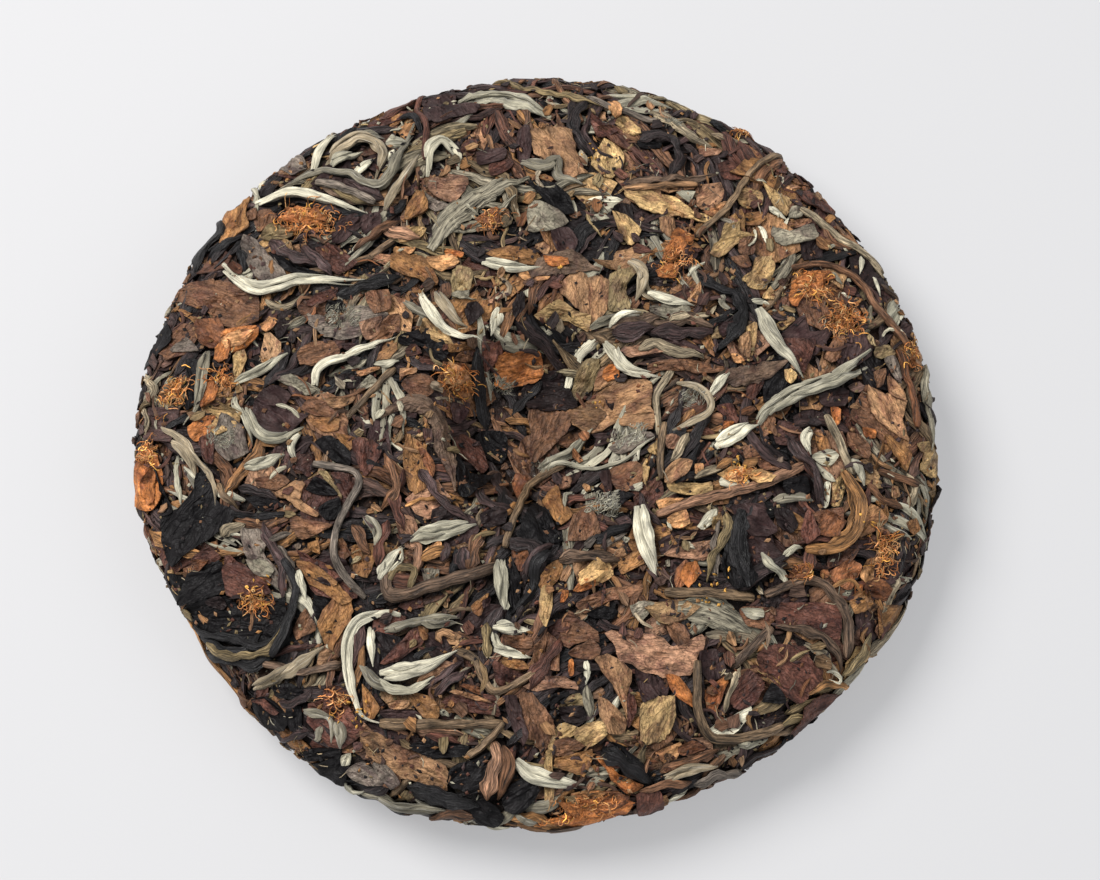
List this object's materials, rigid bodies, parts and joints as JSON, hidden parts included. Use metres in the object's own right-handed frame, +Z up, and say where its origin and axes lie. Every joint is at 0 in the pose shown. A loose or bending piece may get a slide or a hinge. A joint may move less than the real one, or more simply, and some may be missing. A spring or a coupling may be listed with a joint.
{
  "type": "pressed tea cake",
  "caption": "Round pressed cake of whole dried tea leaves, silvery buds and stems, crowned on top with a dimple in the middle, standing on the flat spot of its domed underside.",
  "frame": {"origin": "middle of the underside's flat spot, at the bottom centre of the cake's box", "axes": "+Z up through the dimple, the short way through the cake; +Y away from the viewer of the picture and +X to the right in it"},
  "size_m": [0.201, 0.1996, 0.0285],
  "materials": {
    "tea_leaves": "matt dried leaves in mixed browns, with silvery hairy buds, near-black leaves, tan leaf flakes and orange flower bits"
  },
  "bodies": {
    "root": {"tea_cake": "tea_leaves"}
  },
  "joints": []
}
